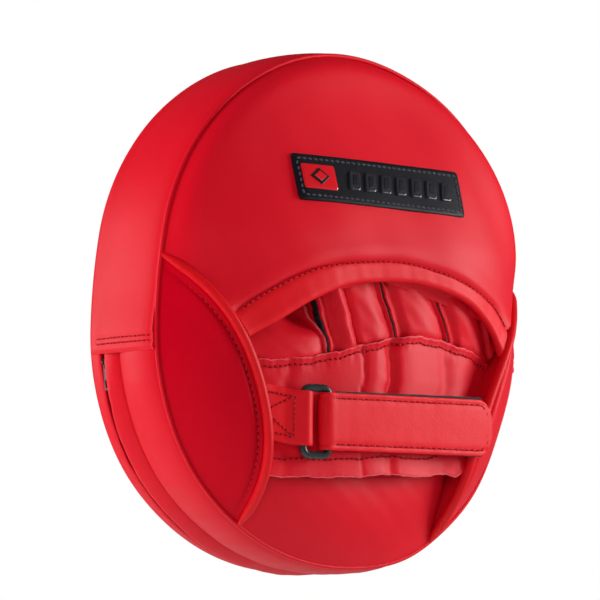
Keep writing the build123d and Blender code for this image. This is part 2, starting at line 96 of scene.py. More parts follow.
def bump(tree, height, distance, strength=1.0, below=None):
    node = add_node(tree, "ShaderNodeBump", Strength=strength, Distance=distance)
    tree.links.new(height, node.inputs["Height"])
    if below is not None:
        tree.links.new(below, node.inputs["Normal"])
    return node.outputs["Normal"]


def leather(name, base, worn, rough=(0.44, 0.54), grain=0.00004, creases=0.0005, specular=0.2):
    """Smooth coated leather: fine pebbled grain, faint creases and slow changes of colour."""
    material, tree, shader = new_material(name, specular=specular)
    tree.links.new(colour_mix(tree, noise(tree, 14.0), base, worn), shader.inputs["Base Color"])
    tree.links.new(map_range(tree, noise(tree, 35.0), *rough), shader.inputs["Roughness"])
    pebbles = add_node(tree, "ShaderNodeTexVoronoi", Scale=1500.0)
    tree.links.new(place(tree), pebbles.inputs["Vector"])
    fine = bump(tree, pebbles.outputs["Distance"], grain)
    tree.links.new(bump(tree, noise(tree, 45.0, 4.0), creases, 0.5, fine), shader.inputs["Normal"])
    return material


def weave(name, dark, light, pitch=0.0007, depth=0.0002, rough=0.85, sheen=0.0):
    """Woven or knitted cloth, with its threads across X and Z."""
    material, tree, shader = new_material(name, roughness=rough, specular=0.25)
    shader.inputs["Sheen Weight"].default_value = sheen
    waves = []
    for axis in ("X", "Z"):
        wave = add_node(tree, "ShaderNodeTexWave", bands_direction=axis)
        wave.inputs["Scale"].default_value = 0.314 / pitch
        tree.links.new(place(tree), wave.inputs["Vector"])
        waves.append(wave.outputs["Fac"])
    both = add_node(tree, "ShaderNodeMath", operation="MULTIPLY")
    for socket, wave in zip(both.inputs, waves):
        tree.links.new(wave, socket)
    tree.links.new(colour_mix(tree, both.outputs[0], dark, light, 0.0, 1.0), shader.inputs["Base Color"])
    tree.links.new(bump(tree, both.outputs[0], depth), shader.inputs["Normal"])
    return material


def plain(name, first, second, rough, metallic=0.0, scale=60.0, depth=0.00005, specular=0.5, coat=0.0):
    """Moulded plastic, metal or foam: slight mottling, and roughness that varies."""
    material, tree, shader = new_material(name, metallic=metallic, specular=specular)
    shader.inputs["Coat Weight"].default_value = coat
    tree.links.new(colour_mix(tree, noise(tree, scale), first, second), shader.inputs["Base Color"])
    tree.links.new(map_range(tree, noise(tree, scale * 2), *rough), shader.inputs["Roughness"])
    tree.links.new(bump(tree, noise(tree, scale * 20), depth), shader.inputs["Normal"])
    return material


red = leather("cover_leather", (0.70, 0.004, 0.016), (0.62, 0.003, 0.014))
# The left wing's leather is a darker copy of the cover leather with less sheen: painted shade, as that wing
# faces away from the lights.
red_wing_painted_shade = leather("wing_leather_painted_shade", (0.57, 0.0004, 0.011), (0.51, 0.0003, 0.010), specular=0.07)
red_strap = leather("strap_leather", (0.74, 0.006, 0.014), (0.66, 0.004, 0.012), creases=0.0008)
red_pipe = leather("piping_leather", (0.70, 0.004, 0.010), (0.60, 0.003, 0.008), rough=(0.42, 0.5))
# Dark red for the needle holes between stitches: painted shade, standing for the shadow inside each hole.
needle_hole_painted_shade = plain("needle_hole_painted_shade", (0.17, 0.001, 0.006), (0.24, 0.002, 0.010), (0.8, 0.95), scale=300.0,
                    specular=0.05)
# Pale pink for cut edges: partly the cut leather's own colour, partly a painted highlight along the hand
# cover's edges and the stalls' raised lips.
raw_edge_and_painted_highlight = plain("cut_edge_and_painted_highlight", (0.80, 0.12, 0.14), (0.62, 0.03, 0.05), (0.7, 0.9), scale=300.0)
thread = weave("thread", (0.50, 0.004, 0.012), (0.85, 0.03, 0.04), pitch=0.0004, rough=0.6)
dark_thread = weave("label_thread", (0.04, 0.042, 0.055), (0.20, 0.21, 0.25), pitch=0.0004, rough=0.45)
lining = weave("lining_cloth", (0.004, 0.004, 0.006), (0.018, 0.018, 0.024), pitch=0.0008)
loops = weave("loop_and_hook", (0.003, 0.003, 0.004), (0.02, 0.02, 0.024), pitch=0.0006, depth=0.0004,
              sheen=0.3)
zip_cloth = weave("zip_tape_cloth", (0.006, 0.006, 0.008), (0.03, 0.03, 0.035))
metal = plain("zip_metal", (0.025, 0.028, 0.03), (0.06, 0.065, 0.07), (0.28, 0.42), metallic=0.7, scale=300.0)
teeth = plain("zip_teeth", (0.03, 0.03, 0.035), (0.06, 0.06, 0.065), (0.35, 0.5), scale=300.0)
ring_plastic = plain("ring_plastic", (0.012, 0.022, 0.022), (0.022, 0.034, 0.034), (0.22, 0.36), scale=120.0)
label_black = leather("label_leather", (0.006, 0.006, 0.009), (0.012, 0.012, 0.016), rough=(0.38, 0.5),
                      grain=0.00008, specular=0.16)
label_red = plain("label_tile", (0.72, 0.012, 0.02), (0.64, 0.008, 0.016), (0.10, 0.18), scale=40.0,
                  depth=0.00003, coat=0.6)

carried = {
    lining: ("palm_lining",),
    zip_cloth: ("zip_tape_rear", "zip_tape_front"),
    teeth: ("zip_teeth", "zip_stops"),
    metal: ("zip_slider", "zip_pull"),
    ring_plastic: ("strap_ring",),
    loops: ("hook_tape",),
}
for material, names in carried.items():
    for name in names:
        mesh = nodes[name].data
        mesh.materials.clear()
        mesh.materials.append(material)


# ---------------------------------------------------------------- the mitt's plan
half_width, bottom_centre, top_centre, top_radius = 106.0, -14.0, 16.0, 104.0
side_radius, side_angle = 330.0, math.radians(7.63)


def arc(centre, radius, first, last, count):
    turn = np.linspace(first, last, count)
    return np.stack([centre[0] + radius * np.cos(turn), centre[1] + radius * np.sin(turn)], 1)


def resample(points, count=None, spacing=None):
    """Points evenly spaced along a polyline."""
    length = np.concatenate([[0], np.cumsum(np.linalg.norm(np.diff(points, axis=0), axis=1))])
    if count is None:
        count = max(2, int(round(length[-1] / spacing)) + 1)
    stops = np.linspace(0, length[-1], count)
    return np.stack([np.interp(stops, length, points[:, k]) for k in range(points.shape[1])], 1)


def smooth_line(points, count=120):
    """A smooth line through the points (Catmull-Rom), evenly sampled."""
    p = np.array(points, float)
    p = np.vstack([2 * p[0] - p[1], p, 2 * p[-1] - p[-2]])
    t = np.linspace(0, 1, 24, endpoint=False)[:, None]
    runs = []
    for a, b, c, d in zip(p, p[1:], p[2:], p[3:]):
        runs.append(0.5 * (2 * b + (c - a) * t + (2 * a - 5 * b + 4 * c - d) * t**2
                           + (3 * b - a - 3 * c + d) * t**3))
    return resample(np.vstack([*runs, p[-2:-1]]), count)


# counter-clockwise from the right-hand end of the bottom half circle
rim = np.vstack([
    arc((half_width - side_radius, bottom_centre), side_radius, 0, side_angle, 100)[:-1],
    arc((0, top_centre), top_radius, side_angle, math.pi - side_angle, 900)[:-1],
    arc((side_radius - half_width, bottom_centre), side_radius, math.pi - side_angle, math.pi, 100)[:-1],
    arc((0, bottom_centre), half_width, math.pi, 2 * math.pi, 900),
])
rim = resample(rim, 4001)[:-1]


def rim_from(start, end, count, turn=1):
    """Points along the rim between two points; turn is 1 for counter-clockwise."""
    first, last = [int(np.argmin(np.linalg.norm(rim - np.array(p), axis=1))) for p in (start, end)]
    steps = (last - first) * turn % len(rim)
    stations = (first + turn * np.linspace(0, steps, count)) % len(rim)
    closed = np.vstack([rim, rim[:1]])
    return np.stack([np.interp(stations, np.arange(len(closed)), closed[:, k]) for k in (0, 1)], 1)


def inside(x, z):
    """How far a point is inside the rim."""
    low = half_width - np.hypot(x, z - bottom_centre)
    side = side_radius - np.hypot(np.abs(x) + side_radius - half_width, z - bottom_centre)
    high = top_radius - np.hypot(x, z - top_centre)
    angle = np.arctan2(z - bottom_centre, np.abs(x) + side_radius - half_width)
    return np.maximum(np.where(z < bottom_centre, low, np.where(angle < side_angle, side, high)), 0.0)


wing_top, wing_mid, wing_bottom = (104.0, 18.0), (66.5, -41.0), (56.0, -104.0)


def circle_through(a, b, c):
    rows = np.array([[b[0] - a[0], b[1] - a[1]], [c[0] - a[0], c[1] - a[1]]], float)
    squares = 0.5 * np.array([b[0]**2 + b[1]**2 - a[0]**2 - a[1]**2, c[0]**2 + c[1]**2 - a[0]**2 - a[1]**2])
    centre = np.linalg.solve(rows, squares)
    return centre, float(np.hypot(*(centre - a)))


edge_centre, edge_radius = circle_through(wing_top, wing_mid, wing_bottom)


def from_edge(x, z):
    """How far a point of the middle is from the nearer wing's inner edge."""
    return np.maximum(np.hypot(np.abs(x) - edge_centre[0], z - edge_centre[1]) - edge_radius, 0.0)


def wing_edge(side, z_first, z_last, count):
    """A wing's inner edge between two heights."""
    z = np.array([z_first, z_last])
    first, last = np.pi - np.arcsin(np.clip((z - edge_centre[1]) / edge_radius, -1, 1))
    line = arc(edge_centre, edge_radius, first, last, count)
    return line * (side, 1)


def coons(low, high, left, right):
    """A grid of points between four border lines; rows run from low to high."""
    s = np.linspace(0, 1, len(low))[None, :, None]
    t = np.linspace(0, 1, len(left))[:, None, None]
    return ((1 - t) * low[None] + t * high[None] + (1 - s) * left[:, None] + s * right[:, None]
            - (1 - s) * (1 - t) * low[0] - s * (1 - t) * low[-1]
            - (1 - s) * t * high[0] - s * t * high[-1])


def bell(x, width):
    return np.exp(-(x / width)**2)


def smooth(x, low, high):
    t = np.clip((x - low) / (high - low), 0, 1)
    return t * t * (3 - 2 * t)


def arch(x, top, radius):
    """The depth of an arch over the hand at x, from its top and its radius."""
    return top - (radius - np.sqrt(radius**2 - x**2))


def ripple(x, size, phase=0.0):
    """A gentle, never quite repeating unevenness."""
    return size * (0.5 * np.sin(x * 0.11 + phase) + 0.3 * np.sin(x * 0.27 + 2.1 * phase + 1.0)
                   + 0.2 * np.sin(x * 0.61 + 3.7 * phase + 2.0))


# ---------------------------------------------------------------- heights above the back seam
def wing_height(x, z):
    e = inside(x, z)
    return 28.0 * (1 - (1 - np.clip((e - 0.8) / 37.2, 0, 1))**2.1)


def hood_height(x, z):
    e = inside(x, z)
    climb = (120.0 - z) / 100.0
    g = 1 - np.log1p(np.exp(8 * (1 - climb))) / 8
    crown = 1 - (1 - np.clip(e / 75.0, 0, 1))**2
    brim = 7.4 + 3.4 * bell(z - 72, 34) * smooth(x, 10, 60) - 3.2 * (1 - smooth(z, 2, 34))
    edge = 1 - np.exp(-np.maximum(e - 1.6, 0) / 2.4)
    d = brim * edge - 0.6 * (1 - smooth(e, 0.0, 2.2)) + 31.0 * g * crown
    near = np.exp(-from_edge(x, z) / 7.0)
    return (1 - near) * d + near * (wing_height(x, z) + 0.3)


def heel_height(x, z):
    e = inside(x, z)
    d = 17.0 * (1 - (1 - np.clip(e / 44.0, 0, 1))**2.2)
    d = d * (1 - 0.4 * np.exp(-from_edge(x, z) / 4.0))
    return d + (8.0 - d) * smooth(z, -72.0, -60.0)


cover_arch_radius = 275.5
cover_arch_top = 26.8


def cover_height(x, z):
    base = arch(x, cover_arch_top, cover_arch_radius)
    x = x + ripple(z * 2.6, 1.5, 0.9)
    folds = (-0.9 * bell(x + 6.5, 1.1) + 1.1 * bell(x, 5) - 3.0 * bell(x - 10.5, 2.8)
             + 1.0 * bell(x - 22, 9) - 0.9 * bell(x - 44, 4) + 0.8 * bell(x - 55, 7) - 0.7 * bell(x + 31, 9)
             - 0.8 * bell(x + 47, 3))
    return base + folds * (0.35 + 0.65 * smooth(z, -66.0, -42.0))


def on_surface(height, plan, lift=0.0):
    """Points on a height field over the plan, and their outward normals."""
    x, z = plan[:, 0], plan[:, 1]
    d = height(x, z)
    step = 0.4
    slope_x = (height(x + step, z) - height(x - step, z)) / (2 * step)
    slope_z = (height(x, z + step) - height(x, z - step)) / (2 * step)
    normal = np.stack([-slope_x, -np.ones_like(d), -slope_z], 1)
    normal /= np.linalg.norm(normal, axis=1)[:, None]
    return np.stack([x, -d, z], 1) + normal * lift, normal


def at_depth(plan, depth):
    return np.stack([plan[..., 0], -np.broadcast_to(depth, plan.shape[:-1]), plan[..., 1]], -1)


def settle(points):
    """The made mitt isn't quite even: its right flank is drawn in, and its heel and left flank are fuller."""
    x, y, z = points.T
    back_edge = 1 - smooth(y, 2.0, 28.0)
    shift_x = -4.0 * smooth(x, 66, 104) * bell(z + 52, 36) * back_edge
    shift_x = shift_x - 3.0 * smooth(x, 74, 102) * bell(z - 8, 24) * back_edge
    shift_x = shift_x - 0.7 * smooth(-x, 50, 104) * bell(z - 10, 50)
    shift_x = shift_x - 0.8 * smooth(-x, 25, 85) * bell(z + 82, 26)
    shift_z = -2.2 * bell(x - 46, 26) * smooth(-z, 84, 118) * back_edge
    shift_z = shift_z + (0.5 * bell(x + 25, 25) - 0.8 * bell(x - 38, 28)) * smooth(z, 92, 118)
    return np.stack([x + shift_x, y, z + shift_z], 1)


# ---------------------------------------------------------------- mesh making
def build(name, points, faces, materials, body="root", stands_for=(), slot=None, fill=None,
          indices=None, sharp=50):
    """One piece from points in millimetres, riding on a body and standing for its CAD nodes."""
    mesh = bpy.data.meshes.new(name)
    points = np.asarray(points, float)
    if body == "root":
        points = settle(points)
    mesh.from_pydata((points * 0.001).tolist(), [], faces)
    for material in materials:
        mesh.materials.append(material)
    if indices is not None:
        mesh.polygons.foreach_set("material_index", np.asarray(indices, np.int32))
    work = bmesh.new()
    work.from_mesh(mesh)
    bmesh.ops.remove_doubles(work, verts=work.verts, dist=1e-6)
    bmesh.ops.recalc_face_normals(work, faces=work.faces)
    work.to_mesh(mesh)
    work.free()
    mesh.validate()
    mesh.polygons.foreach_set("use_smooth", [True] * len(mesh.polygons))
    mesh.set_sharp_from_angle(angle=math.radians(sharp))
    piece = bpy.data.objects.new(name, mesh)
    bpy.context.scene.collection.objects.link(piece)
    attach(piece, body)
    if stands_for:
        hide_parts(*stands_for)
    return piece


def loft(name, rings, materials, second=(), round_trip=False, **how):
    """A closed skin through rings of equal length; the ends are filled unless it comes back round.
    The faces after the points listed in second take the second material."""
    rings = np.asarray(rings, float)
    count, size = rings.shape[:2]
    points = rings.reshape(-1, 3)
    faces, indices = [], []
    for i in range(count if round_trip else count - 1):
        after = (i + 1) % count
        for j in range(size):
            k = (j + 1) % size
            faces.append((i * size + j, i * size + k, after * size + k, after * size + j))
            indices.append(int(j in second))
    if not round_trip:
        for i in (0, count - 1):
            centre = len(points)
            points = np.vstack([points, rings[i].mean(0)])
            for j in range(size):
                faces.append((i * size + j, i * size + (j + 1) % size, centre))
                indices.append(int(size - 1 in second))
    return build(name, points, faces, materials, indices=indices, **how)


def frames(line, normal):
    """Unit tangent, side and normal along a line."""
    tangent = np.gradient(line, axis=0)
    tangent /= np.linalg.norm(tangent, axis=1)[:, None]
    side = np.cross(tangent, normal)
    side /= np.linalg.norm(side, axis=1)[:, None]
    return tangent, side, np.cross(side, tangent)


def tube(name, line, normal, width, height, materials, sides=14, taper=6, **how):
    """A cord of oval section along a line, its ends drawn in."""
    tangent, side, up = frames(line, normal)
    turn = np.linspace(0, 2 * math.pi, sides, endpoint=False)
    grow = np.ones(len(line))
    grow[:taper] = np.sqrt(np.linspace(0.12, 1, taper))
    grow[-taper:] = grow[:taper][::-1]
    rings = (line[:, None] + grow[:, None, None] * (width * np.cos(turn)[None, :, None] * side[:, None]
             + height * np.sin(turn)[None, :, None] * up[:, None]))
    return loft(name, rings, materials, **how)


def fin(name, line, normal, widths, materials, **how):
    """A thin upright strip along a line; widths gives its half width at each point."""
    _, side, up = frames(line, normal)
    section = np.array([(-1, -0.1), (0.0, 0.1), (1, -0.1), (1, -3.6), (-1, -3.6)])
    rings = []
    for i, point in enumerate(line):
        rings.append(point + section[:, :1] * widths[i] * side[i] + section[:, 1:] * up[i])
    return loft(name, rings, materials, **how)


def stitches(name, line, normal, materials=None, pitch=3.3, length=2.25, radius=0.45, slant=0.12, body="root",
             slot=None):
    """A row of short thread loops lying on a surface, with a dark lens between each and the next: painted
    shade in the needle's hole.
    """
    total = np.linalg.norm(np.diff(line, axis=0), axis=1).sum()
    count = max(1, int(round(total / pitch)))
    stations = resample(np.hstack([line, normal]), 2 * count + 1)
    turn = np.linspace(0, 2 * math.pi, 8, endpoint=False)
    points, faces, indices = [], [], []
    for i in range(count):
        middle, up = stations[2 * i + 1, :3], stations[2 * i + 1, 3:]
        up = up / np.linalg.norm(up)
        along = stations[2 * i + 2, :3] - stations[2 * i, :3]
        along /= np.linalg.norm(along)
        side = np.cross(along, up)
        slanted = along + slant * side * (1 if i % 2 else 0.7)
        first = len(points)
        for station, size in ((-1.0, 0.25), (-0.8, 0.8), (-0.3, 1.0), (0.3, 1.0), (0.8, 0.8), (1.0, 0.25)):
            for a in turn:
                points.append(middle + slanted * station * length / 2 + size * radius
                              * (math.cos(a) * side + math.sin(a) * up) - up * 0.25 * abs(station)**3)
        for ring in range(first, first + 40, 8):
            faces += [(ring + j, ring + (j + 1) % 8, ring + 8 + (j + 1) % 8, ring + 8 + j) for j in range(8)]
        faces.append(tuple(first + j for j in range(8)))
        faces.append(tuple(first + 47 - j for j in range(8)))
        indices += [0] * 42
        # a dark lens in the gap after the loop: painted shade in the needle's hole
        gap, hole = middle + along * pitch / 2, len(points)
        points += [gap + 0.62 * math.cos(a) * along + 0.4 * math.sin(a) * side + 0.04 * up for a in turn]
        points += [gap + 0.12 * up, gap - 0.5 * up]
        faces += [(hole + j, hole + (j + 1) % 8, hole + top) for top in (8, 9) for j in range(8)]
        indices += [1] * 16
    return build(name, points, faces, materials or [thread, needle_hole_painted_shade], body=body, slot=slot, sharp=80,
                 indices=indices)


# ---------------------------------------------------------------- striking pad
def rim_shift(plan, amount):
    """Rim points moved inwards along the rim's own normal."""
    x, z = plan[:, 0], plan[:, 1]
    step = 0.5
    gx = (inside(x * 0.98 + step, z * 0.98) - inside(x * 0.98 - step, z * 0.98)) / (2 * step)
    gz = (inside(x * 0.98, z * 0.98 + step) - inside(x * 0.98, z * 0.98 - step)) / (2 * step)
    normal = np.stack([gx, gz], 1)
    return plan + normal / np.linalg.norm(normal, axis=1)[:, None] * np.reshape(amount, (-1, 1))


around = resample(np.vstack([rim, rim[:1]]), 361)[:-1]


def shrink(plan, amount):
    """Rim points moved inwards; past 60 mm they run to the middle."""
    if amount <= 60:
        return rim_shift(plan, amount)
    return rim_shift(plan, 60.0) * (105.0 - amount) / 45.0


# (inset from the rim, y); the dip at 10.2 mm is the sewn line round the striking face
pad_profile = [(2.0, 44.0), (0.5, 44.6), (-0.5, 46.0), (-0.9, 48.0), (-0.5, 50.4), (0.7, 52.8), (2.7, 54.8),
               (5.4, 56.0), (8.0, 57.0), (9.4, 57.1), (10.2, 56.6), (11.0, 57.1), (13.0, 57.9), (18.0, 58.6),
               (26.0, 59.0), (38.0, 59.3), (50.0, 59.4), (60.0, 59.5), (72.0, 59.5), (85.0, 59.5),
               (97.0, 59.5), (104.0, 59.5)]
rings = [at_depth(shrink(around, inset), -y) for inset, y in pad_profile]
loft("striking_pad", rings, [red], stands_for=("strike_cover", "foam_strike", "foam_mid", "foam_base"),
     slot="red_cover", fill=0.9)
ring_line = at_depth(shrink(around, 10.2), -56.75)
ring_line = np.vstack([ring_line, ring_line[:1]])
stitches("striking_pad_stitches", ring_line, np.tile([0.0, 1.0, 0.0], (len(ring_line), 1)), slot="red_cover")

# ---------------------------------------------------------------- band round the edge
fold_right, fold_left = -4.2, 186.5


def band_plan(first, last, count):
    """Rim points between two angles about the bottom half circle's centre."""
    ends = [(half_width * math.cos(math.radians(a)), bottom_centre + half_width * math.sin(math.radians(a)))
            for a in (first, last)]
    return rim_from(ends[0], ends[1], count)


def band_rings(plan, profile):
    """Rings across the band; profile(i) gives (outwards, y) points at station i."""
    rings = []
    for i in range(len(plan)):
        section = np.asarray(profile(i), float)
        spot = plan[i:i + 1].repeat(len(section), 0)
        flat = rim_shift(spot, -section[:, 0])
        rings.append(np.stack([flat[:, 0], section[:, 1], flat[:, 1]], 1))
    return rings


upper_plan = band_plan(fold_right, fold_left, 300)
upper_length = np.concatenate([[0], np.cumsum(np.linalg.norm(np.diff(upper_plan, axis=0), axis=1))])


def upper_profile(i):
    run = min(upper_length[i], upper_length[-1] - upper_length[i])
    lift = 1.9 * (1 - smooth(run, 4.0, 30.0)) - 0.6 * bell(run - 4.2, 1.0) - 0.6 * bell(run - 6.6, 1.0)
    lift -= 0.9 * (1 - smooth(run, 0.0, 1.2))
    y = np.concatenate([[0.3, 1.0, 2.2, 4.0, 7.0], np.linspace(11, 38, 8), [42.0, 45.0, 47.0, 48.4]])
    bulge = 2.2 * np.sin(np.pi * np.clip(y / 48.0, 0, 1))**0.6 - 1.9 * np.exp(-y / 1.1)
    wave = ripple(upper_length[i] * 0.35, 0.25) * np.sin(np.pi * np.clip(y / 48.0, 0, 1))
    ends = 1 - 0.55 * smooth(y, 36.0, 48.0)
    outer = np.stack([np.maximum(bulge, 1.15 * smooth(y, 30, 46)) + lift * ends + wave, y], 1)
    inner_low = -1.2 + lift * 0.6
    inner = [(-1.2 + lift * 0.25, 48.0), (inner_low, 30.0), (inner_low, 15.0), (-1.5, 0.6)]
    return np.vstack([outer, inner])


loft("band_upper_skin", band_rings(upper_plan, upper_profile), [red], stands_for=("band_upper",),
     slot="red_cover")

lower_plan = band_plan(fold_left - 1.6, 360 + fold_right + 1.6, 300)
lower_angle = np.linspace(fold_left - 1.6, 360 + fold_right + 1.6, 300)
lower_length = np.radians(lower_angle - fold_left) * half_width


def rear_profile(i):
    y = np.concatenate([[0.6, 1.2, 2.4, 4.5], np.linspace(8, 24, 6), [26.6, 28.4, 29.4, 29.9]])
    t = (y - 0.6) / 29.3
    wave = ripple(lower_length[i], 0.35, 1.0) * np.sin(np.pi * t)
    r = -2.0 + 4.6 * np.sin(np.pi * np.clip(t, 0.001, 0.999))**0.38 + wave
    return np.vstack([np.stack([r, y], 1), [(-2.4, 29.6), (-2.4, 1.0)]])


def lip_rise(i):
    """The zip flap stands up from just past the slider to just before the far fold."""
    return 0.25 + 0.75 * smooth(lower_angle[i], 189.0, 199.0)


def flap_profile(i):
    rise = lip_rise(i)
    wave = ripple(lower_length[i], 0.3, 2.0)
    edge = 39.5 + 0.25 * math.sin(lower_length[i] * 0.21)
    return [(-2.4, 30.4), (-2.0, 30.3), (-1.0, 30.8), (0.1 + 0.3 * wave, 32.0),
            (0.8 + 0.5 * rise + wave, 35.0), (0.9 + 1.4 * rise + wave, 37.2), (0.9 + 1.7 * rise + wave, 38.8),
            (0.7 + 1.6 * rise + wave, edge), (0.2 + 0.9 * rise + wave, edge + 0.15),
            (0.5 * rise + 0.5 * wave, 38.6), (-1.0, 36.6), (-2.0, 35.0)]


def front_profile(i):
    wave = ripple(lower_length[i], 0.25, 3.0)
    return [(-1.5, 48.2), (0.85, 48.8), (1.1 + 0.3 * wave, 46.8), (1.2 + wave, 45.0), (1.2 + wave, 43.9),
            (0.8 + wave, 43.1), (-0.2, 43.0), (-1.0, 43.8), (-1.5, 44.8)]


loft("band_rear_skin", band_rings(lower_plan, rear_profile), [red], stands_for=("band_rear_strip",),
     slot="red_cover")
loft("zip_flap_skin", band_rings(lower_plan, flap_profile), [red], stands_for=("zip_flap",), slot="red_cover")
loft("band_front_skin", band_rings(lower_plan, front_profile), [red], stands_for=("band_front_strip",),
     slot="red_cover")

welt_radius = 1.0
welt_line = at_depth(shrink(around, 0.35), 0.0)
outwards = at_depth(around, 0.0)
outwards /= np.linalg.norm(outwards, axis=1)[:, None]
_, side, up = frames(np.vstack([welt_line, welt_line[:1]]), np.vstack([outwards, outwards[:1]]))
turn = np.linspace(0, 2 * math.pi, 10, endpoint=False)
rings = welt_line[:, None] + welt_radius * (np.cos(turn)[None, :, None] * side[:-1, None]
                                            + np.sin(turn)[None, :, None] * up[:-1, None])
loft("seam_welt", rings, [red], round_trip=True, stands_for=("back_welt",), slot="red_cover")

for name, fold, way in (("left", fold_left, -1), ("right", fold_right, 1)):
    for row, back in ((1, 4.2), (2, 6.6)):
        angle = fold + way * math.degrees(back / half_width)
        spot = band_plan(angle, angle + 0.5, 2)[:1].repeat(12, 0)
        y = np.linspace(2.0, 45.0, 12)
        lift = 1.9 * (1 - smooth(back, 4.0, 30.0)) - 0.5
        lift = 2.2 * np.sin(np.pi * y / 48)**0.6 + lift * (1 - 0.55 * smooth(y, 36, 48)) + 0.1
        flat = rim_shift(spot, -lift)
        line = np.stack([flat[:, 0], y, flat[:, 1]], 1)
        away = rim_shift(spot, -lift - 1) - flat
        normal = np.stack([away[:, 0], 0 * y, away[:, 1]], 1)
        stitches(f"band_fold_stitches_{name}_{row}", line, normal, pitch=3.0, length=2.1,
                 slot="red_cover")


# ---------------------------------------------------------------- wings and their piping
def wing_skin(side):
    """One padded cheek: rings across it, from its upper tip to its lower one."""
    count = 150
    fraction = np.linspace(0.006, 0.994, count)
    line_in = resample(wing_edge(side, wing_top[1], wing_bottom[1], 500), 500)
    line_out = rim_from((side * wing_top[0], wing_top[1]), (side * wing_bottom[0], wing_bottom[1]), 500,
                        -side)
    stops = np.linspace(0, 1, 500)
    a = np.stack([np.interp(fraction, stops, line_out[:, k]) for k in (0, 1)], 1)
    b = np.stack([np.interp(fraction, stops, line_in[:, k]) for k in (0, 1)], 1)
    width = np.linalg.norm(b - a, axis=1)
    rings = []
    for i in range(count):
        t = 0.5 - 0.5 * np.cos(np.linspace(0, math.pi, 40))
        plan = a[i] + (b[i] - a[i]) * t[:, None]
        x, z = plan[:, 0], plan[:, 1]
        gap = (1 - t) * width[i]
        d = wing_height(x, z)
        fine = np.clip(width[i] / 20.0, 0, 1)
        d = d - fine * (1.9 * bell(gap, 1.7) + 1.2 * bell(gap - 4.3, 1.0)) + fine * 0.6 * bell(gap - 7.6, 3.0)
        d = np.maximum(d, 0.5)
        outer = at_depth(plan, d)
        drop = np.linspace(0.08, 1, 8)
        wall = np.tile(b[i], (8, 1)) - (b[i] - a[i]) / max(width[i], 1e-6) * (0.5 * drop)[:, None] * fine
        wall_d = d[-1] + (0.6 - d[-1]) * drop
        back = b[i] + (a[i] - b[i]) * np.linspace(0.02, 1, 10)[:, None]
        rings.append(np.vstack([outer, at_depth(wall, wall_d), at_depth(back, np.full(10, 0.3))]))
    return rings


for side, hand in ((-1, "left"), (1, "right")):
    # the left wing takes the darker leather, which paints shade on it
    loft(f"wing_cushion_{hand}", wing_skin(side), [red_wing_painted_shade if side < 0 else red],
         stands_for=(f"wing_cover_{hand}", f"wing_foam_{hand}"), slot="red_cover", fill=0.8)
    plan = resample(wing_edge(side, wing_top[1], wing_bottom[1], 300), 130)
    line, normal = on_surface(wing_height, plan, 0.2)
    normal[:] = normal * 0.4 + (0, -0.6, 0)
    tube(f"wing_cord_{hand}", line, normal, 2.3, 2.4, [red_pipe], taper=8,
         stands_for=(f"wing_piping_{hand}",), slot="piping")
    inner = wing_edge(side, wing_top[1], wing_bottom[1], 300)
    away = inner - edge_centre * (side, 1)
    away /= np.linalg.norm(away, axis=1)[:, None]
    row = (inner - away * 4.3)[14:-14]
    line, normal = on_surface(wing_height, row, -0.75)
    stitches(f"wing_stitches_{hand}", line, normal, pitch=3.2, length=2.2, slot="red_cover")


# ---------------------------------------------------------------- hood and its hem
sewn_line = smooth_line([(-79.5, -8.5), (-66.7, 1.2), (-50.9, 10.6), (-33.9, 17.0), (-10.9, 20.8),
                         (8.5, 22.0), (28.7, 19.7), (45.5, 16.0), (60.8, 11.0), (72.5, 5.6),
                         (82.5, -3.5)], 161)
hem_line = smooth_line([(-73.1, -18.6), (-57.2, -8.7), (-42.4, 0.6), (-23.6, 8.8), (-4.8, 12.2), (16.9, 13.2),
                        (35.3, 10.8), (51.1, 6.6), (64.6, -0.6), (72.6, -8.4), (76.0, -16.0)], 161)
hood_wall = 9.3
rows = 70
left_side = resample(wing_edge(-1, sewn_line[0, 1], wing_top[1], 200), rows)
right_side = resample(wing_edge(1, sewn_line[-1, 1], wing_top[1], 200), rows)
left_side[0], right_side[0] = sewn_line[0], sewn_line[-1]
crown_line = rim_from((wing_top[0], wing_top[1]), (-wing_top[0], wing_top[1]), 161)[::-1]
plan = coons(sewn_line, crown_line, left_side, right_side)
# rows crowd towards the rim, where the edge is steep
spread = np.concatenate([np.linspace(0, 0.9, 58), 0.9 + 0.1 * np.sin(np.linspace(0, math.pi / 2, 13)[1:])])
index = spread * (rows - 1)
low_row = np.clip(index.astype(int), 0, rows - 2)
part = (index - low_row)[:, None, None]
plan = plan[low_row] * (1 - part) + plan[low_row + 1] * part
to_sewn = np.linalg.norm(plan - plan[0][None], axis=2)


def hood_top(x, z, gap):
    puff = ripple(x * 0.34 + z * 0.2, 0.6) * smooth(inside(x, z), 8, 30)
    return hood_height(x, z) + puff - 0.8 * bell(gap, 1.2) + 0.5 * bell(gap - 5, 4)


rings = []
for i in range(len(plan)):
    x, z = plan[i, :, 0], plan[i, :, 1]
    d = hood_top(x, z, to_sewn[i])
    under = np.maximum(d - hood_wall * (0.55 + 0.45 * smooth(to_sewn[i], 2.0, 12.0)), 0.2)
    rings.append(np.vstack([at_depth(plan[i], d), at_depth(plan[i], np.minimum(under, d - 0.1))[::-1]]))
loft("hood_cushion", rings, [red], stands_for=("hood_cover", "hood_foam"), slot="red_cover", fill=0.7)

